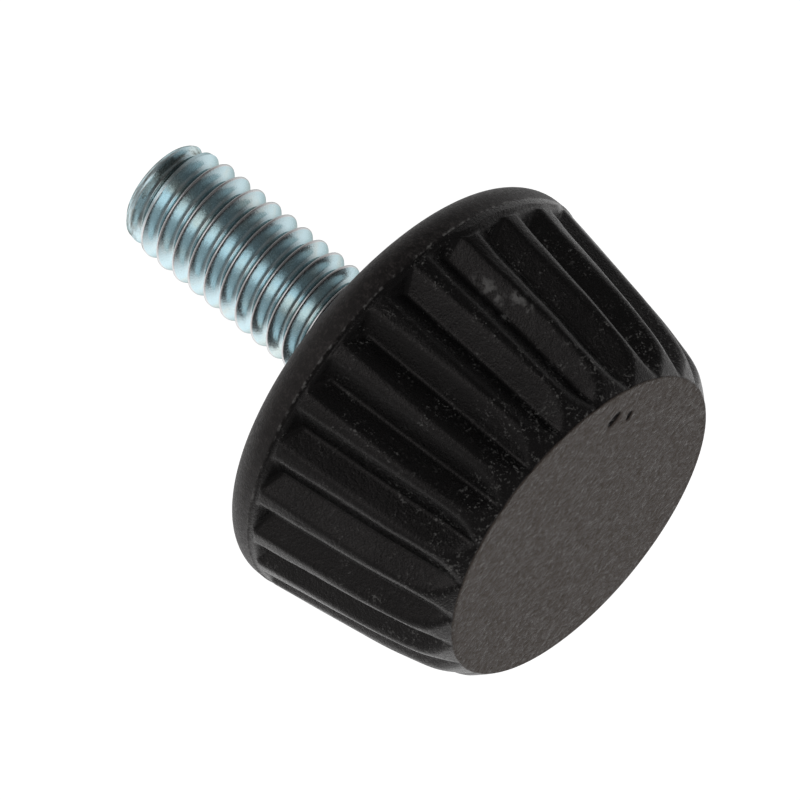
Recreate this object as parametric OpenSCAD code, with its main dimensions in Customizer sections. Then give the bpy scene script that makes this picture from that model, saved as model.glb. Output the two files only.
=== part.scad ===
// Knurled clamping knob: a tapered plastic head with straight ribs, moulded
// round the hexagon head of a zinc-plated steel stud with an M4 thread.
// Millimetres. The clamping face is at z = 0, the crown is up (+Z) and the
// stud points down (-Z), both on the Z axis.

/* [Head] */
// Diameter over the rim, and over the ribs where they start
head_d = 15.2; // [14:0.1:20]
// Height from the clamping face to the crown
head_h = 8.6; // [8:0.1:12]
// Angle by which each side of the grip tapers
taper = 8.5; // [4:0.1:10]
// Radius of the shoulder between the taper and the crown
shoulder_r = 3.6; // [2:0.1:4]
// Angle through which the shoulder turns before the crown's edge
shoulder_turn = 37; // [20:1:60]

/* [Rim] */
// Height of the smooth rim at the clamping end
rim_h = 1.3; // [1.2:0.1:2]
// Rounding of the rim's edge at the clamping face
rim_round = 1; // [0.2:0.05:1.1]

/* [Ribs] */
// Number of ribs round the grip
rib_count = 24; // [16:1:26]
// Depth of the grooves between the ribs, at the rim
groove_depth = 0.5; // [0.3:0.02:0.6]
// Angle between the two walls of a groove
groove_angle = 100; // [60:5:105]
// Width of the narrow flat at the bottom of a groove
groove_floor = 0.08; // [0.04:0.02:0.2]
// Angle by which the bottom of a groove leans inward on its way up
groove_taper = 9.5; // [8:0.1:12]
// Depth of the bevels along a groove's mouth, which ease the ribs' crests
crest_bevel = 0.05; // [0.02:0.01:0.1]
// Angle between the two bevels of a groove
crest_angle = 145; // [125:5:150]
// Distance between the rim and the grooves' lower ends
groove_gap = 0.1; // [0.05:0.05:0.3]
// Height of the slope in which a groove ends at the rim
groove_end_h = 0.5; // [0.2:0.1:1]

/* [Stud] */
// Diameter over the crests of the stud's thread
stud_d = 3.9; // [2.9:0.1:4.9]
// Length of the stud outside the head
stud_l = 10.1; // [6:0.1:30]
// Length of the tapered start at the stud's tip
start_l = 1.2; // [0.8:0.1:2]
// Amount by which the start is smaller in diameter than the stud
start_drop = 0.3; // [0.2:0.1:0.7]
// Rounding of the stud's end
tip_round = 0.35; // [0.1:0.05:0.6]
// Clearance round the thread, all round, in the chamfer at the clamping face
relief_gap = 0.2; // [0.1:0.05:0.4]

/* [Thread] */
// Distance from one crest to the next
thread_pitch = 0.7; // [0.5:0.05:0.8]
// Depth from the crests to the roots
thread_depth = 0.4; // [0.3:0.02:0.44]
// Angle between the two flanks of a turn
thread_angle = 60; // [50:5:65]
// Width of the flat at the thread's root
thread_root = 0.1; // [0.04:0.02:0.14]

/* [Buried head] */
// Diameter of the stud's plain neck inside the head
neck_d = 3.5; // [2.5:0.1:3.8]
// Distance across the flats of the stud's hexagon head
hex_af = 7; // [5.5:0.1:8]
// Thickness of the hexagon head
hex_h = 2.8; // [1.5:0.1:3]
// Depth of plastic between the clamping face and the hexagon head
hex_depth = 2.6; // [1.5:0.1:3]

/* [Hidden] */
$fn = 96;

head_r = head_d / 2;
stud_r = stud_d / 2;
neck_r = neck_d / 2;
start_r = stud_r - start_drop / 2;
relief_r = stud_r + relief_gap;

// The shoulder is an arc that leaves the taper smoothly and ends at the
// crown's edge. These are points in the profile's plane: [radius, height].
shoulder_end = taper + shoulder_turn;
shoulder_centre_z = head_h - shoulder_r * sin(shoulder_end);
shoulder_foot_z = shoulder_centre_z + shoulder_r * sin(taper);
shoulder_foot = [head_r - (shoulder_foot_z - rim_h) * tan(taper), shoulder_foot_z];
shoulder_centre = shoulder_foot - shoulder_r * [cos(taper), sin(taper)];
crown_edge = shoulder_centre + shoulder_r * [cos(shoulder_end), sin(shoulder_end)];

// The cutters stand out of the faces they cut by this much
proud = 1;

// Half widths of a groove: at its floor, where the walls meet the bevels, and
// where the bevels have risen clear of the ribs
bevel_rise = 0.1;
floor_half = groove_floor / 2;
wall_half = floor_half + (groove_depth - crest_bevel) * tan(groove_angle / 2);
mouth_half = wall_half + (crest_bevel + bevel_rise) * tan(crest_angle / 2);

// The thread is drawn as rings, one to each turn, as far as the rounded end
thread_half = thread_root / 2 + thread_depth * tan(thread_angle / 2);
thread_turns = floor((stud_l - tip_round - thread_half) / thread_pitch + 0.5);

module knob_head() {
    color([0.17, 0.165, 0.16])
        difference() {
            rotate_extrude() {
                rim_profile();
                grip_profile();
            }
            grooves();
            stud_solid();
            stud_relief();
        }
}

module threaded_stud() {
    color([0.64, 0.7, 0.73])
        stud_solid();
}

// Half of the rim's section, with its outer edge rounded at the clamping face
module rim_profile() {
    square([head_r - rim_round, rim_h]);
    translate([0, rim_round])
        square([head_r, rim_h - rim_round]);
    translate([head_r - rim_round, rim_round])
        lower_quarter(rim_round);
}

// Half of the grip's section: the taper, the shoulder's arc and the crown
module grip_profile() {
    polygon([
        [0, rim_h],
        [head_r, rim_h],
        shoulder_foot,
        crown_edge,
        [0, head_h]
    ]);
    translate(shoulder_centre)
        intersection() {
            circle(shoulder_r);
            sector(taper, shoulder_end, 2 * shoulder_r);
        }
}

module sector(from, to, r) {
    polygon([
        [0, 0],
        r * [cos(from), sin(from)],
        r * [cos((from + to) / 2), sin((from + to) / 2)],
        r * [cos(to), sin(to)]
    ]);
}

// The grooves end in a slope at the rim, grow deeper along the taper, and run
// out through the shoulder just before the crown's edge
module grooves() {
    intersection() {
        union() {
            for (i = [0 : rib_count - 1])
                rotate([0, 0, (i + 0.5) * 360 / rib_count])
                    groove_cutter();
        }
        groove_zone();
    }
}

module groove_cutter() {
    translate([head_r, 0, rim_h])
        rotate([0, -groove_taper, 0])
            translate([0, 0, -rim_h])
                linear_extrude(2 * head_h)
                    polygon([
                        [-groove_depth, -floor_half],
                        [-groove_depth, floor_half],
                        [-crest_bevel, wall_half],
                        [bevel_rise, mouth_half],
                        [proud, mouth_half],
                        [proud, -mouth_half],
                        [bevel_rise, -mouth_half],
                        [-crest_bevel, -wall_half]
                    ]);
}

// Everything above the cone on which the grooves' lower ends lie
module groove_zone() {
    foot_z = rim_h + groove_gap;
    rise = groove_end_h / groove_depth;
    rotate_extrude()
        polygon([
            [0, foot_z + rise * head_r],
            [2 * head_r, foot_z - rise * head_r],
            [2 * head_r, 2 * head_h],
            [0, 2 * head_h]
        ]);
}

// Chamfer of 45 degrees where the stud leaves the clamping face, so that a
// part can lie flat on the face without touching the thread
module stud_relief() {
    translate([0, 0, -proud])
        cylinder(r1 = relief_r + proud, r2 = 0, h = relief_r + proud);
}

// The whole stud. The head is moulded round it, so the head's cavity is cut
// with this same solid.
module stud_solid() {
    rotate_extrude()
        difference() {
            shank_profile();
            thread_profile();
        }
    translate([0, 0, hex_depth])
        cylinder(d = hex_af / cos(30), h = hex_h, $fn = 6);
}

// Half of the shank's section: the neck, the threaded length, its tapered
// start and the rounded end
module shank_profile() {
    square([neck_r, hex_depth + hex_h / 2]);
    translate([0, start_l - stud_l])
        square([stud_r, stud_l - start_l]);
    polygon([
        [0, tip_round - stud_l],
        [start_r, tip_round - stud_l],
        [stud_r, start_l - stud_l],
        [0, start_l - stud_l]
    ]);
    translate([0, -stud_l])
        square([start_r - tip_round, tip_round]);
    translate([start_r - tip_round, tip_round - stud_l])
        lower_quarter(tip_round);
}

// Half of the section of the thread's grooves, from the clamping face down
module thread_profile() {
    for (i = [0 : thread_turns - 1])
        translate([stud_r, -(i + 0.5) * thread_pitch])
            polygon([
                [-thread_depth, -thread_root / 2],
                [0, -thread_half],
                [proud, -thread_half],
                [proud, thread_half],
                [0, thread_half],
                [-thread_depth, thread_root / 2]
            ]);
}

// The quarter of a circle that rounds an outer edge facing down
module lower_quarter(r) {
    intersection() {
        circle(r);
        translate([0, -r])
            square(r);
    }
}

knob_head();
threaded_stud();
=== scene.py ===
import math
import bmesh
import bpy
from mathutils import Matrix, Vector, noise


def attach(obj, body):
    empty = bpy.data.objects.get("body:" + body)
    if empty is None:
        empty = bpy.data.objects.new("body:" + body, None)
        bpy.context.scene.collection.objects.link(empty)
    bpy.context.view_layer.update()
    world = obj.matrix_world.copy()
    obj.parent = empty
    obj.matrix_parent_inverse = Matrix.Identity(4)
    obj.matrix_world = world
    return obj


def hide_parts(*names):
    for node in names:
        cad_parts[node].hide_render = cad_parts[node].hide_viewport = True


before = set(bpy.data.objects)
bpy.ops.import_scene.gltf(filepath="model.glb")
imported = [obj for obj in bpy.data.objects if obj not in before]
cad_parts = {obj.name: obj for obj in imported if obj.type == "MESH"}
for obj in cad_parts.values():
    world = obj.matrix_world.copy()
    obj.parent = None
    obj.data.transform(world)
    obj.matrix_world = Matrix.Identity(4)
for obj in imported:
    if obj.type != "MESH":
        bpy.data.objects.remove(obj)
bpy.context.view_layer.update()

mm = 0.001
tiny = 1e-7  # below this distance two points are one


def deselectAll():
    if bpy.context.object and bpy.context.object.mode == "EDIT":
        bpy.ops.object.mode_set(mode="OBJECT")
    bpy.ops.object.select_all(action="DESELECT")


def only(obj):
    deselectAll()
    obj.select_set(True)
    bpy.context.view_layer.objects.active = obj


def pickEdges(obj, wanted):
    # Selects the edges that a test accepts, in edit mode
    bpy.ops.mesh.select_mode(type="EDGE")
    bpy.ops.mesh.select_all(action="DESELECT")
    bm = bmesh.from_edit_mesh(obj.data)
    for edge in bm.edges:
        edge.select = wanted(edge)
    bm.select_flush_mode()
    bmesh.update_edit_mesh(obj.data)


def tidyMesh(obj):
    # Merges doubles and turns every face outwards
    only(obj)
    bpy.ops.object.mode_set(mode="EDIT")
    bpy.ops.mesh.select_all(action="SELECT")
    bpy.ops.mesh.remove_doubles(threshold=tiny)
    bpy.ops.mesh.normals_make_consistent(inside=False)
    bpy.ops.object.mode_set(mode="OBJECT")


def turned(name, rings, steps):
    # A turned solid: a filled circle that is extruded and resized from ring to ring,
    # each ring a radius and a height
    deselectAll()
    bpy.ops.mesh.primitive_circle_add(vertices=steps, radius=rings[0][0], fill_type="NGON")
    obj = bpy.context.object
    obj.name = name
    bpy.ops.object.mode_set(mode="EDIT")
    bpy.ops.mesh.select_all(action="SELECT")
    bpy.ops.transform.translate(value=(0, 0, rings[0][1]))
    for (radius, height), (nextRadius, nextHeight) in zip(rings, rings[1:]):
        bpy.ops.mesh.extrude_region_move(TRANSFORM_OT_translate={"value": (0, 0, nextHeight - height)})
        grow = nextRadius / radius
        bpy.ops.transform.resize(value=(grow, grow, 1), center_override=(0, 0, nextHeight))
    bpy.ops.object.mode_set(mode="OBJECT")
    tidyMesh(obj)
    return obj


def combine(obj, tool, operation):
    # Applies a boolean with another solid, then deletes that solid
    only(obj)
    bpy.ops.object.modifier_add(type="BOOLEAN")
    cut = obj.modifiers[-1]
    cut.operation = operation
    cut.solver = "EXACT"
    cut.object = tool
    bpy.ops.object.modifier_apply(modifier=cut.name)
    only(tool)
    bpy.ops.object.delete()
    tidyMesh(obj)


def arc(centre, radius, fromAngle, toAngle, count):
    # Points of an arc in the profile's plane, as radius and height
    points = []
    for i in range(count + 1):
        turn = math.radians(fromAngle + (toAngle - fromAngle) * i / count)
        points.append((centre[0] + radius * math.cos(turn), centre[1] + radius * math.sin(turn)))
    return points


def between(first, last, count):
    # Points that divide a straight line, without its first point
    points = []
    for i in range(1, count + 1):
        part = i / count
        points.append((first[0] + (last[0] - first[0]) * part, first[1] + (last[1] - first[1]) * part))
    return points


def softLower(first, second, soft):
    # The lower of two values, rounded where they cross
    mix = max(soft - abs(first - second), 0) / soft
    return min(first, second) - mix * mix * soft / 4


def softHigher(first, second, soft):
    return -softLower(-first, -second, soft)


def smoothStep(value, low, high):
    # From 0 to 1 between two limits, level at both
    part = min(max((value - low) / (high - low), 0), 1)
    return part * part * (3 - 2 * part)


def unevenness(place, size):
    # Between -1 and 1, and the same each time
    return noise.noise(place / size)


head = {
    "rimRadius": 7.59 * mm,
    "rimHeight": 1.3 * mm,
    "rimRounding": 1.0 * mm,
    "lipRounding": 0.05 * mm,
    "lipArc": (20, 70),  # the part of the lip's quarter circle that is drawn
    "lipHold": 1.4,  # in roundings, how far below the edge a ring keeps the rim straight
    "seamDepth": 0.08 * mm,  # the valley between the rim and the ribs' feet
    "seamWidth": 0.2 * mm,
    "seamFloor": (0.3, 0.5),  # shares of the width between which it is deepest
    "seamRise": (0.3, 0.8),  # a point of its upper slope, as shares of depth and width
    "height": 8.598 * mm,
    "taper": 8.5,
    "shoulderRadius": 3.6 * mm,
    "shoulderTurn": 37,
    "crownRounding": 0.07 * mm,
    "crownMiddle": 4.2 * mm,  # inside this radius the crown is one flat face
    "reliefRadius": 2.15 * mm,
    "boreRadius": 1.75 * mm,
    "columnsPerRib": 28,
}

# How many steps each stretch of the head's section has
headSteps = {
    "relief": 4,
    "face": 6,
    "rim": 15,
    "lip": 3,
    "ribEnds": 14,
    "side": 20,
    "shoulder": 37,
    "crownEdge": 3,
    "crown": 20,
}

ribs = {
    "count": 24,
    "grooveTaper": 9.5,
    "grooveAngle": 107,
    "grooveFloor": 0.06 * mm,
    "crestRounding": 0.4 * mm,
    "roundHeight": 4.3 * mm,  # where the crests are fully round
    "endSlope": 0.5,
    "endSoftness": 0.14 * mm,
    "endsTop": 2.3 * mm,  # the grooves' sloping lower ends lie below this height
    "edgeSoftness": 0.05 * mm,
    "crownSoftness": 0.22 * mm,
    "crownDepth": 0.09 * mm,
    "softerFrom": 5.2 * mm,  # between these heights the grooves grow softer and deeper
    "softerTo": 7.8 * mm,
    "shallowerFrom": 7.9 * mm,
    "depthSpread": 0.025 * mm,
    "depthStride": 7.3,  # how far apart in the noise the depths of two grooves are read
    "depthLine": (2.1, 0.4),
    "waveSize": 1.1 * mm,
    "waveHeight": 0.018 * mm,
    "passes": 4,  # each pass reads the groove's section again at the radius found
}

# A stretch of flash stands up from the rim's edge
flash = {
    "fromAngle": -18,
    "toAngle": 38,
    "fade": 9,
    "height": 0.3 * mm,
    "uneven": 0.3,
    "from": 0.8,  # in rim heights: the rise starts here, and ends at the rim's edge
    "settleFrom": 1.2,
    "settleTo": 2.4,
}

# Two small dents mark the crown
dents = {
    # Middle and reach of each pressed spot, as x, y and radius
    "spots": [
        (4.00 * mm, 2.06 * mm, 0.22 * mm),
        (4.17 * mm, 2.00 * mm, 0.25 * mm),
        (4.34 * mm, 1.94 * mm, 0.20 * mm),
        (4.21 * mm, 1.15 * mm, 0.15 * mm),
        (4.38 * mm, 1.19 * mm, 0.18 * mm),
    ],
    "depth": 0.10 * mm,
}


def sideRadius(height):
    # Radius of the head between the ribs' feet and the shoulder
    return head["rimRadius"] - (height - head["rimHeight"]) * math.tan(math.radians(head["taper"]))


def headRings():
    # The head's section, from the hole for the stud round the outside to the crown
    rim, rimHeight, rounding = head["rimRadius"], head["rimHeight"], head["rimRounding"]
    lip, seam, seamWidth = head["lipRounding"], head["seamDepth"], head["seamWidth"]
    bore, relief = head["boreRadius"], head["reliefRadius"]
    rings = [(bore, relief - bore)]
    rings += between(rings[-1], (relief, 0), headSteps["relief"])
    rings += between(rings[-1], (rim - rounding, 0), headSteps["face"])
    rings += arc((rim - rounding, rounding), rounding, -90, 0, headSteps["rim"])[1:]

    # The rim's lip, the valley above it and the ribs' feet
    rings += [(rim, rimHeight - head["lipHold"] * lip), (rim, rimHeight - lip)]
    rings += arc((rim - lip, rimHeight - lip), lip, *head["lipArc"], headSteps["lip"])
    for share in head["seamFloor"]:
        rings += [(rim - seam, rimHeight + share * seamWidth)]
    feetHeight = rimHeight + seamWidth
    riseDepth, riseWidth = head["seamRise"]
    rings += [(sideRadius(feetHeight) - riseDepth * seam, rimHeight + riseWidth * seamWidth)]
    rings += [(sideRadius(feetHeight), feetHeight)]

    # The taper, the shoulder's arc and the crown with its fine edge
    shoulder, edge, top = head["shoulderRadius"], head["crownRounding"], head["height"]
    firstAngle, lastAngle = head["taper"], head["taper"] + head["shoulderTurn"]
    firstTurn, lastTurn = math.radians(firstAngle), math.radians(lastAngle)
    centreHeight = top - shoulder * math.sin(lastTurn)
    footHeight = centreHeight + shoulder * math.sin(firstTurn)
    centreRadius = sideRadius(footHeight) - shoulder * math.cos(firstTurn)
    crownRadius = centreRadius + shoulder * math.cos(lastTurn)
    crownCentre = crownRadius - edge * (1 - math.sin(lastTurn)) / math.cos(lastTurn)
    rings += between(rings[-1], (sideRadius(ribs["endsTop"]), ribs["endsTop"]), headSteps["ribEnds"])
    rings += between(rings[-1], (sideRadius(footHeight), footHeight), headSteps["side"])
    rings += arc((centreRadius, centreHeight), shoulder, firstAngle, lastAngle, headSteps["shoulder"])[1:-1]
    rings += arc((crownCentre, top - edge), edge, lastAngle, 90, headSteps["crownEdge"])
    rings += between(rings[-1], (head["crownMiddle"], top), headSteps["crown"])
    return rings


def grooveSection(aside):
    # How far out a groove's surface lies at a distance to one side of its middle.
    # A straight wall leads into the round of the next crest.
    angle = math.radians(ribs["grooveAngle"] / 2)
    rounding = ribs["crestRounding"]
    half = math.pi / ribs["count"]
    lean = math.tan(math.radians(ribs["grooveTaper"])) * (ribs["roundHeight"] - head["rimHeight"])
    centreOut = (sideRadius(ribs["roundHeight"]) - rounding) * math.cos(half) - head["rimRadius"] + lean
    centreSide = (sideRadius(ribs["roundHeight"]) - rounding) * math.sin(half)
    wallEndOut = centreOut + rounding * math.sin(angle)
    wallEndSide = centreSide - rounding * math.cos(angle)
    aside = max(abs(aside), ribs["grooveFloor"] / 2)
    if aside < wallEndSide:
        return wallEndOut - (wallEndSide - aside) / math.tan(angle)
    return centreOut + math.sqrt(max(rounding ** 2 - (aside - centreSide) ** 2, 0))


def cutGrooves(obj):
    # Presses the head's points in to the grooves between the ribs
    step = 2 * math.pi / ribs["count"]
    lean = math.tan(math.radians(ribs["grooveTaper"]))
    lowest = head["rimHeight"] + head["seamFloor"][1] * head["seamWidth"]
    highest = head["height"] - head["crownRounding"] / 2
    for vert in obj.data.vertices:
        place = vert.co
        if not lowest < place.z < highest:
            continue
        radius = math.hypot(place.x, place.y)
        angle = math.atan2(place.y, place.x) % (2 * math.pi)
        which = int(angle / step)
        aside = angle - (which + 0.5) * step
        readAt = Vector((which * ribs["depthStride"], *ribs["depthLine"]))
        deeper = ribs["depthSpread"] * unevenness(readAt, 1)
        wave = ribs["waveHeight"] * unevenness(place + Vector((0, 0, which * mm)), ribs["waveSize"])
        nearCrown = smoothStep(place.z, ribs["softerFrom"], ribs["softerTo"])
        deeper += ribs["crownDepth"] * nearCrown * (1 - smoothStep(place.z, ribs["shallowerFrom"], highest))
        softness = ribs["edgeSoftness"] + (ribs["crownSoftness"] - ribs["edgeSoftness"]) * nearCrown
        out = radius
        for i in range(ribs["passes"]):
            section = grooveSection(out * math.sin(aside))
            shift = head["rimRadius"] - lean * (place.z - head["rimHeight"]) + section - deeper - wave
            out = shift / math.cos(aside)
        ramp = head["rimRadius"] - (place.z - lowest) / ribs["endSlope"]
        out = softHigher(out, ramp, ribs["endSoftness"])
        out = softLower(out, radius, softness)
        if out < radius:
            place.x *= out / radius
            place.y *= out / radius


def raiseFlash(obj):
    rimHeight, fade = head["rimHeight"], flash["fade"]
    lowest, highest = flash["from"] * rimHeight, flash["settleTo"] * rimHeight
    for vert in obj.data.vertices:
        place = vert.co
        if not lowest < place.z < highest:
            continue
        angle = math.degrees(math.atan2(place.y, place.x))
        along = smoothStep(angle, flash["fromAngle"], flash["fromAngle"] + fade)
        along *= 1 - smoothStep(angle, flash["toAngle"] - fade, flash["toAngle"])
        up = smoothStep(place.z, lowest, rimHeight)
        up *= 1 - smoothStep(place.z, flash["settleFrom"] * rimHeight, highest)
        place.z += flash["height"] * along * up * (1 + flash["uneven"] * unevenness(place, mm))


def dentCrown(obj):
    for vert in obj.data.vertices:
        place = vert.co
        if place.z < head["height"] - tiny:
            continue
        for x, y, reach in dents["spots"]:
            away = math.hypot(place.x - x, place.y - y)
            place.z -= dents["depth"] * (1 - smoothStep(away, 0, reach))


def buildHead():
    obj = turned("knobHead", headRings(), ribs["count"] * head["columnsPerRib"])
    cutGrooves(obj)
    raiseFlash(obj)
    dentCrown(obj)
    only(obj)
    bpy.ops.object.shade_smooth()
    return obj


print("head")
knobHead = buildHead()


stud = {
    "crestRadius": 1.945 * mm,
    "rootRadius": 1.54 * mm,
    "pitch": 0.7 * mm,
    "flankAngle": 30,
    "crestHalf": 0.035 * mm,
    "crestRounding": 0.035 * mm,
    "rootRounding": 0.11 * mm,
    # Points that round the crest, in roundings inwards and half widths along, and the
    # root, in roundings outwards and along
    "crestShape": [(0, 0), (0.07, 0.6), (0.35, 1)],
    "rootShape": [(0.4, -0.15), (0.12, 0.35)],
    "rootFlat": 0.01 * mm,  # half the flat in the middle of the root
    "crestHeight": -0.2 * mm,  # where a crest passes the +X side
    "spareTurns": 2,  # turns beyond each end, which are cut off
    "stepsPerTurn": 72,
    "length": 10.098 * mm,
    "startLength": 1.2 * mm,
    "startRadius": 1.797 * mm,
    "tipRounding": 0.35 * mm,
    "tipSteps": 10,
    "tipMiddle": 0.3 * mm,  # the first ring of the flat end
    "crestRoom": 0.004 * mm,  # between the crests and the solid that trims the thread
    "trimSteps": 96,
    "neckRadius": 1.75 * mm,
    "neckSteps": 48,
    "neckOverlap": 0.3 * mm,  # how far the neck reaches into the thread and the hexagon
    "hexagonFlats": 7 * mm,
    "hexagonFrom": 2.6 * mm,
    "hexagonTo": 5.4 * mm,
    "smoothAngle": 35,
}


def threadProfile():
    # One pitch of the thread, from root to root, as radius and height
    crest, root, pitch = stud["crestRadius"], stud["rootRadius"], stud["pitch"]
    soft, deep, edge = stud["crestRounding"], stud["rootRounding"], stud["crestHalf"]
    flank = math.tan(math.radians(stud["flankAngle"]))
    foot = edge + (crest - root) * flank
    half = [(crest - inwards * soft, along * edge) for inwards, along in stud["crestShape"]]
    half += [
        (crest - soft, edge + soft * flank),
        ((crest + root) / 2, (edge + foot) / 2),
        (root + deep, foot - deep * flank),
    ]
    half += [(root + outwards * deep, foot + along * deep) for outwards, along in stud["rootShape"]]
    half += [(root, pitch / 2 - stud["rootFlat"])]
    down = [(radius, -height) for radius, height in reversed(half[1:])]
    return down + half


def closeEnds(obj):
    # Each open end is drawn together to a point, outside the length that is kept
    middle = -stud["length"] / 2
    for isEnd in (lambda height: height < middle, lambda height: height > middle):
        pickEdges(obj, lambda edge: edge.is_boundary and isEnd(edge.verts[0].co.z))
        bpy.ops.mesh.extrude_edges_move()
        bpy.ops.mesh.merge(type="CENTER")


def buildThread():
    # The profile is drawn point by point, then screwed round the axis
    below = math.ceil(stud["length"] / stud["pitch"]) + stud["spareTurns"]
    bottom = stud["crestHeight"] - below * stud["pitch"]
    points = [(radius, height + bottom) for radius, height in threadProfile()]
    points.append((points[0][0], points[0][1] + stud["pitch"]))
    deselectAll()
    bpy.ops.mesh.primitive_plane_add(size=mm)
    obj = bpy.context.object
    obj.name = "threadedStud"
    bpy.ops.object.mode_set(mode="EDIT")
    bpy.ops.mesh.select_all(action="SELECT")
    bpy.ops.mesh.merge(type="CENTER")
    bpy.ops.transform.translate(value=(points[0][0], 0, points[0][1]))
    for (radius, height), (nextRadius, nextHeight) in zip(points, points[1:]):
        bpy.ops.mesh.extrude_vertices_move(
            TRANSFORM_OT_translate={"value": (nextRadius - radius, 0, nextHeight - height)}
        )
    only(obj)
    bpy.ops.object.modifier_add(type="SCREW")
    screw = obj.modifiers[-1]
    screw.angle = 2 * math.pi
    screw.screw_offset = stud["pitch"]
    screw.iterations = below + stud["spareTurns"]
    screw.steps = stud["stepsPerTurn"]
    screw.render_steps = stud["stepsPerTurn"]
    screw.use_merge_vertices = False
    bpy.ops.object.modifier_apply(modifier=screw.name)
    bpy.ops.object.mode_set(mode="EDIT")
    bpy.ops.mesh.select_all(action="SELECT")
    bpy.ops.mesh.remove_doubles(threshold=tiny)
    closeEnds(obj)
    bpy.ops.mesh.select_all(action="SELECT")
    bpy.ops.mesh.normals_make_consistent(inside=False)
    bpy.ops.object.mode_set(mode="OBJECT")
    return obj


def trimThread(thread):
    # Cuts the thread to its length, with a tapered start and a rounded tip
    length, rounding = stud["length"], stud["tipRounding"]
    full = stud["crestRadius"] + stud["crestRoom"]
    rings = [(stud["tipMiddle"], -length)]
    rings += arc((stud["startRadius"] - rounding, rounding - length), rounding, -90, 0, stud["tipSteps"])
    rings += [(full, stud["startLength"] - length), (full, 0)]
    combine(thread, turned("trim", rings, stud["trimSteps"]), "INTERSECT")


def buildNeck():
    # The plain neck and the hexagon head, which are buried in the plastic
    radius, overlap = stud["neckRadius"], stud["neckOverlap"]
    low, high = stud["hexagonFrom"], stud["hexagonTo"]
    neck = turned("neck", [(radius, -overlap), (radius, low + overlap)], stud["neckSteps"])
    deselectAll()
    bpy.ops.mesh.primitive_cylinder_add(
        vertices=6,
        radius=stud["hexagonFlats"] / math.sqrt(3),
        depth=high - low,
        location=(0, 0, (high + low) / 2),
    )
    hexagon = bpy.context.object
    only(hexagon)
    bpy.ops.object.transform_apply(location=True, rotation=True, scale=True)
    combine(neck, hexagon, "UNION")
    return neck


def buildStud():
    obj = buildThread()
    trimThread(obj)
    combine(obj, buildNeck(), "UNION")
    only(obj)
    bpy.ops.object.shade_smooth_by_angle(angle=math.radians(stud["smoothAngle"]))
    return obj


print("stud")
threadedStud = buildStud()


class Wire:
    # A socket that takes part in sums: each operator adds one Math node
    def __init__(self, finish, socket):
        self.finish = finish
        self.socket = socket

    def __add__(self, other):
        return self.finish.maths("ADD", self, other)

    def __sub__(self, other):
        return self.finish.maths("SUBTRACT", self, other)

    def __rsub__(self, other):
        return self.finish.maths("SUBTRACT", other, self)

    def __mul__(self, other):
        return self.finish.maths("MULTIPLY", self, other)

    __radd__ = __add__
    __rmul__ = __mul__

    def part(self, name):
        # Another output of the same node
        return Wire(self.finish, self.socket.node.outputs[name])


class Finish:
    # The nodes of one material, or of the world
    def __init__(self, owner):
        owner.use_nodes = True
        self.tree = owner.node_tree
        self.tree.nodes.clear()

    def node(self, kind, settings=None, inputs=None):
        made = self.tree.nodes.new(kind)
        for name, value in (settings or {}).items():
            setattr(made, name, value)
        for name, value in (inputs or {}).items():
            socket = made.inputs[name]
            if isinstance(value, Wire):
                self.tree.links.new(value.socket, socket)
            else:
                socket.default_value = value
        shown = [socket for socket in made.outputs if socket.enabled]
        return Wire(self, shown[0]) if shown else None

    def maths(self, operation, first, second):
        return self.node("ShaderNodeMath", {"operation": operation}, {0: first, 1: second})

    def vectors(self, operation, first, second=(0, 0, 0)):
        return self.node("ShaderNodeVectorMath", {"operation": operation}, {0: first, 1: second})

    def blend(self, amount, first, second):
        inputs = {"Factor": amount, 6: first, 7: second}
        return self.node("ShaderNodeMix", {"data_type": "RGBA"}, inputs).part(2)

    def ramp(self, value, low, high, start=0.0, end=1.0, kind="SMOOTHSTEP"):
        return self.node(
            "ShaderNodeMapRange",
            {"interpolation_type": kind},
            {"Value": value, "From Min": low, "From Max": high, "To Min": start, "To Max": end},
        )

    def rampAt(self, value, place, offsets):
        # A ramp between two offsets from a height or a radius
        return self.ramp(value, place + offsets[0], place + offsets[1])

    def noise(self, place, scale, detail, roughness):
        inputs = {"Vector": place, "Scale": scale, "Detail": detail, "Roughness": roughness}
        return self.node("ShaderNodeTexNoise", {}, inputs)

    def where(self):
        # The place on the piece, its height and its distance from the axis
        place = self.node("ShaderNodeTexCoord").part("Object")
        height = self.node("ShaderNodeSeparateXYZ", {}, {0: place}).part("Z")
        radius = self.vectors("LENGTH", self.vectors("MULTIPLY", place, (1, 1, 0))).part("Value")
        return place, height, radius

    def surface(self, shader):
        self.node("ShaderNodeOutputMaterial", {}, {"Surface": shader})


def coat(obj, material):
    obj.data.materials.clear()
    obj.data.materials.append(material)


noiseMean = 0.5

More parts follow.
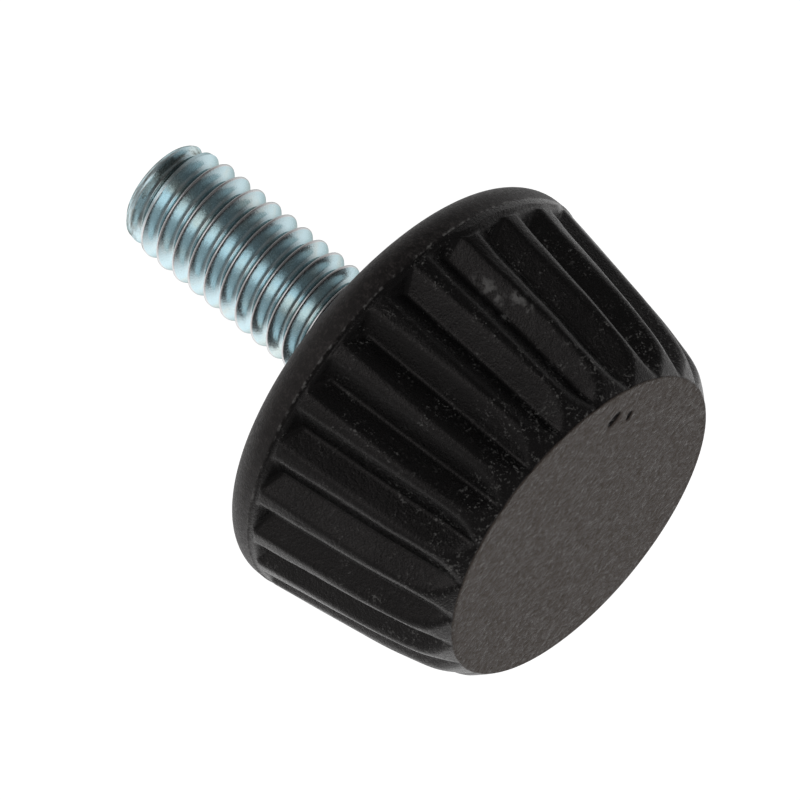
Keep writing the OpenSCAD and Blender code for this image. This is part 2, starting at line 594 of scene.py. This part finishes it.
plastic = {
    "sideColour": (0.0022, 0.0022, 0.0023, 1),
    # Painted glints: pale flecks in the colour of the ribs and the rim's lip that stand in for light caught
    # by the surface
    "paintedGlintColour": (0.085, 0.084, 0.081, 1),
    "scuffColour": (0.085, 0.084, 0.082, 1),
    "rimColour": (0.0030, 0.0022, 0.0020, 1),
    "rimPaleColour": (0.025, 0.021, 0.020, 1),
    "crownColour": (0.032, 0.023, 0.017, 1),
    "crownPaleColour": (0.052, 0.040, 0.032, 1),
    "sideRoughness": 0.30,
    "rimRoughness": 0.52,
    "crownRoughness": 0.60,
    "roughnessSpread": 0.8,
    "crownRoughnessSpread": 1.2,
    "index": 1.44,
    "glossTint": (1.0, 0.93, 0.92, 1),
    # Each noise: its scale, which is one over its size in metres, detail and roughness
    "grain": (12500, 3, 0.7),
    "mottle": (4375, 3, 0.6),
    "patches": (900, 2, 0.5),
    "crownGrain": (5882.353, 3, 0.7),
    # Where in a noise each of these starts to show, and shows fully: painted glints, the patches that hold
    # them, scuffs, the rim's pale grain, the painted highlight on the lip and the crown's pale grain
    "paintedGlints": (0.56, 0.65),
    "glintPatches": (0.42, 0.66),
    "scuffed": (0.42, 0.64),
    "rimPale": (0.47, 0.64),
    "lipHighlight": (0.45, 0.68),
    "crownPale": (0.40, 0.60),
    "glintGrain": 0.6,  # the grain's share in the painted glints, with the mottle for the rest
    "crownGlints": 0.02,  # how much more of them there is near the crown
    "crownPatches": 0.1,
    "crownNear": (5.0 * mm, 7.8 * mm),
    # Where the finish changes, and where the painted highlight along the rim's lip lies, measured from the
    # crown's or the rim's height, or from the rim's radius
    "crownStart": (-0.06 * mm, -0.02 * mm),
    "rimStart": (0.02 * mm, -0.02 * mm),
    "lipStart": (-0.09 * mm, -0.04 * mm),
    "lipEnd": (0.05 * mm, 0),
    "lipRadius": (-0.09 * mm, -0.03 * mm),
    # Relief: the height of a bump, and how much of each noise is in it
    "bumpHeight": 0.03 * mm,
    "grainBump": 0.7,
    "mottleBump": 0.5,
    "crownBump": 3,
}

# Scuffed places on the ribs: middle, and how far each reaches
scuffs = [
    ((5.66 * mm, 3.97 * mm, 2.92 * mm), 0.32 * mm),
    ((5.60 * mm, 3.94 * mm, 3.36 * mm), 0.38 * mm),
    ((5.50 * mm, 3.90 * mm, 3.86 * mm), 0.34 * mm),
    ((5.88 * mm, 3.75 * mm, 4.35 * mm), 0.38 * mm),
    ((5.80 * mm, 3.68 * mm, 4.80 * mm), 0.26 * mm),
    ((5.28 * mm, 4.03 * mm, 4.44 * mm), 0.26 * mm),
]
scuffHeart = 0.3  # the share of its reach inside which a scuff is full


def plasticMaterial():
    material = bpy.data.materials.new("blackPlastic")
    f = Finish(material)
    place, height, radius = f.where()
    onCrown = f.rampAt(height, head["height"], plastic["crownStart"])
    onRim = f.rampAt(height, head["rimHeight"], plastic["rimStart"])
    nearCrown = f.ramp(height, *plastic["crownNear"])
    # A band along the rim's front edge that takes a dotted painted highlight
    lip = f.rampAt(height, head["rimHeight"], plastic["lipStart"])
    lip = lip * f.rampAt(height, head["rimHeight"], plastic["lipEnd"])
    lip = lip * f.rampAt(radius, head["rimRadius"], plastic["lipRadius"])

    grain = f.noise(place, *plastic["grain"])
    mottle = f.noise(place, *plastic["mottle"])
    patches = f.noise(place, *plastic["patches"])
    crownGrain = f.noise(place, *plastic["crownGrain"])

    # Painted glints: pale flecks that stand in for light caught by the grain, with more of them towards the
    # crown where the grooves run out
    rough = grain * plastic["glintGrain"] + mottle * (1 - plastic["glintGrain"])
    paintedGlints = f.ramp(rough + nearCrown * plastic["crownGlints"], *plastic["paintedGlints"])
    paintedGlints = paintedGlints * f.ramp(patches + nearCrown * plastic["crownPatches"], *plastic["glintPatches"])
    torn = f.ramp(mottle, *plastic["scuffed"])
    worn = 0.0
    for middle, reach in scuffs:
        away = f.vectors("DISTANCE", place, middle).part("Value")
        worn = worn + f.ramp(away, reach, scuffHeart * reach) * torn
    sides = f.blend(paintedGlints, plastic["sideColour"], plastic["paintedGlintColour"])
    sides = f.blend(f.maths("MINIMUM", worn, 1.0), sides, plastic["scuffColour"])
    rim = f.blend(f.ramp(rough, *plastic["rimPale"]), plastic["rimColour"], plastic["rimPaleColour"])
    # The painted highlight along the lip, in the colour of the painted glints
    rim = f.blend(lip * f.ramp(mottle, *plastic["lipHighlight"]), rim, plastic["paintedGlintColour"])
    pale = f.ramp(crownGrain, *plastic["crownPale"])
    crown = f.blend(pale, plastic["crownColour"], plastic["crownPaleColour"])

    roughness = (
        plastic["sideRoughness"]
        + onRim * (plastic["rimRoughness"] - plastic["sideRoughness"])
        + onCrown * (plastic["crownRoughness"] - plastic["sideRoughness"])
        + (grain - noiseMean) * plastic["roughnessSpread"]
        + onCrown * (crownGrain - noiseMean) * plastic["crownRoughnessSpread"]
    )
    relief = grain * plastic["grainBump"] + mottle * plastic["mottleBump"]
    relief = relief + onCrown * crownGrain * plastic["crownBump"]
    bump = {"Strength": 1.0, "Distance": plastic["bumpHeight"], "Height": relief}
    inputs = {
        "Base Color": f.blend(onCrown, f.blend(onRim, sides, rim), crown),
        "Roughness": roughness,
        "Specular Tint": plastic["glossTint"],
        "IOR": plastic["index"],
        "Normal": f.node("ShaderNodeBump", {}, bump),
    }
    f.surface(f.node("ShaderNodeBsdfPrincipled", {}, inputs))
    return material


zinc = {
    "colour": (0.70, 0.88, 0.94, 1),
    "paleColour": (0.77, 0.87, 0.87, 1),
    "crestColour": (0.84, 0.83, 0.84, 1),
    "tipColour": (0.30, 0.32, 0.31, 1),  # streaks round the tapered start
    "roughness": 0.23,
    "roughnessSpread": 0.3,
    "edgeTint": (0.40, 0.44, 0.43, 1),  # darkens the plate where it is seen along its surface
    # Each noise: its scale, which is one over its size in metres, detail and roughness
    "cloud": (900, 3, 0.55),
    "fine": (14000, 3, 0.6),
    "streaks": (2500, 3, 0.6),
    "streakStretch": (0.5, 0.5, 3),
    # Where in a noise each of these starts to show, and shows fully
    "pale": (0.45, 0.7),
    "streaked": (0.40, 0.62),
    # Where the finish changes, from the crests' radius or the tip's height
    "crestStart": (-0.05 * mm, -0.02 * mm),
    "tipStart": (0.8 * stud["startLength"], 0.3 * stud["startLength"]),
    "bumpHeight": 0.004 * mm,
}


def zincMaterial():
    material = bpy.data.materials.new("zincPlate")
    f = Finish(material)
    place, height, radius = f.where()
    onCrest = f.rampAt(radius, stud["crestRadius"], zinc["crestStart"])
    onTip = f.rampAt(height, -stud["length"], zinc["tipStart"])
    cloud = f.noise(place, *zinc["cloud"])
    fine = f.noise(place, *zinc["fine"])
    streaks = f.noise(f.vectors("MULTIPLY", place, zinc["streakStretch"]), *zinc["streaks"])
    colour = f.blend(f.ramp(cloud, *zinc["pale"]), zinc["colour"], zinc["paleColour"])
    colour = f.blend(onCrest, colour, zinc["crestColour"])
    colour = f.blend(onTip * f.ramp(streaks, *zinc["streaked"]), colour, zinc["tipColour"])
    bump = {"Strength": 1.0, "Distance": zinc["bumpHeight"], "Height": fine + cloud}
    inputs = {
        "Base Color": colour,
        "Metallic": 1.0,
        "Roughness": zinc["roughness"] + (fine - noiseMean) * zinc["roughnessSpread"],
        "Specular Tint": zinc["edgeTint"],
        "Normal": f.node("ShaderNodeBump", {}, bump),
    }
    f.surface(f.node("ShaderNodeBsdfPrincipled", {}, inputs))
    return material


print("materials")
coat(knobHead, plasticMaterial())
coat(threadedStud, zincMaterial())

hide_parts("knob_head")
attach(knobHead, "root")
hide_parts("threaded_stud")
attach(threadedStud, "root")


white = (1, 1, 1, 1)

studio = {
    "floorHeight": -60 * mm,
    "floorSize": 3.0,
    "floorColour": (0.8, 0.8, 0.8, 1),
    "floorGlow": 0.5,
    "ambient": 0.7,
    # What shiny surfaces find around them: white behind, dark on the camera's side and
    # darker above, with a soft light on the left and a small one beside the camera.
    # Each pair says how far towards its direction a change starts and ends.
    "front": 0.12,
    "frontEdges": (-0.7, 0.1),
    "above": (0.816, -0.015, -0.578),
    "dimAbove": 0.45,
    "left": (-0.497, 0.491, -0.715),
    "leftEdges": (0.3, 0.9),
    "leftLight": 0.2,
    "lamp": (0.133, 0.908, -0.406),
    "lampEdges": (0.88, 0.98),
    "lampLight": 0.8,
}

camera = {
    "aim": (-0.571 * mm, -0.204 * mm, 0.879 * mm),
    "distance": 1.0,
    "azimuth": 71.34,  # from +X towards +Y
    "elevation": 23.163,
    "roll": 128.93,
    "lens": 1412.97,
    "sensor": 36,
    "near": 0.01,
    "far": 10,
}


def buildCamera():
    deselectAll()
    turn = (
        Matrix.Rotation(math.radians(camera["azimuth"] + 90), 4, "Z")
        @ Matrix.Rotation(math.radians(90 - camera["elevation"]), 4, "X")
        @ Matrix.Rotation(math.radians(camera["roll"]), 4, "Z")
    )
    back = turn.to_3x3() @ Vector((0, 0, 1))
    bpy.ops.object.camera_add()
    obj = bpy.context.object
    obj.matrix_world = Matrix.Translation(Vector(camera["aim"]) + back * camera["distance"]) @ turn
    obj.data.lens = camera["lens"]
    obj.data.sensor_width = camera["sensor"]
    obj.data.clip_start = camera["near"]
    obj.data.clip_end = camera["far"]
    bpy.context.scene.camera = obj
    return back


def buildFloor():
    deselectAll()
    bpy.ops.mesh.primitive_plane_add(size=studio["floorSize"], location=(0, 0, studio["floorHeight"]))
    floor = bpy.context.object
    floor.name = "floor"
    bpy.ops.object.transform_apply(location=True, rotation=True, scale=True)
    material = bpy.data.materials.new("paleFloor")
    f = Finish(material)
    path = f.node("ShaderNodeLightPath")
    seen = path.part("Is Camera Ray") * studio["floorGlow"]
    glow = f.node("ShaderNodeEmission", {}, {"Color": white, "Strength": seen})
    paint = f.node("ShaderNodeBsdfDiffuse", {}, {"Color": studio["floorColour"]})
    both = f.node("ShaderNodeAddShader", {}, {0: paint, 1: glow})
    clear = f.node("ShaderNodeBsdfTransparent")
    f.surface(f.node("ShaderNodeMixShader", {}, {0: path.part("Is Glossy Ray"), 1: both, 2: clear}))
    coat(floor, material)


def buildWorld(back):
    world = bpy.data.worlds.new("studioWorld")
    bpy.context.scene.world = world
    f = Finish(world)
    path = f.node("ShaderNodeLightPath")
    way = f.node("ShaderNodeTexCoord").part("Generated")

    def towards(direction):
        return f.vectors("DOT_PRODUCT", way, direction).part("Value")

    around = f.ramp(towards(tuple(back)), *studio["frontEdges"], 1.0, studio["front"], "LINEAR")
    around = around * (1 - towards(studio["above"]) * studio["dimAbove"])
    for light in ("left", "lamp"):
        glow = f.ramp(towards(studio[light]), *studio[light + "Edges"])
        around = around + glow * studio[light + "Light"]
    isCamera, isGlossy = path.part("Is Camera Ray"), path.part("Is Glossy Ray")
    plain = (1 - isCamera) * (1 - isGlossy) * studio["ambient"]
    strength = isCamera + isGlossy * around + plain
    sky = f.node("ShaderNodeBackground", {}, {"Color": white, "Strength": strength})
    f.node("ShaderNodeOutputWorld", {}, {"Surface": sky})


print("studio")
back = buildCamera()
buildFloor()
buildWorld(back)
bpy.context.scene.view_settings.view_transform = "Standard"
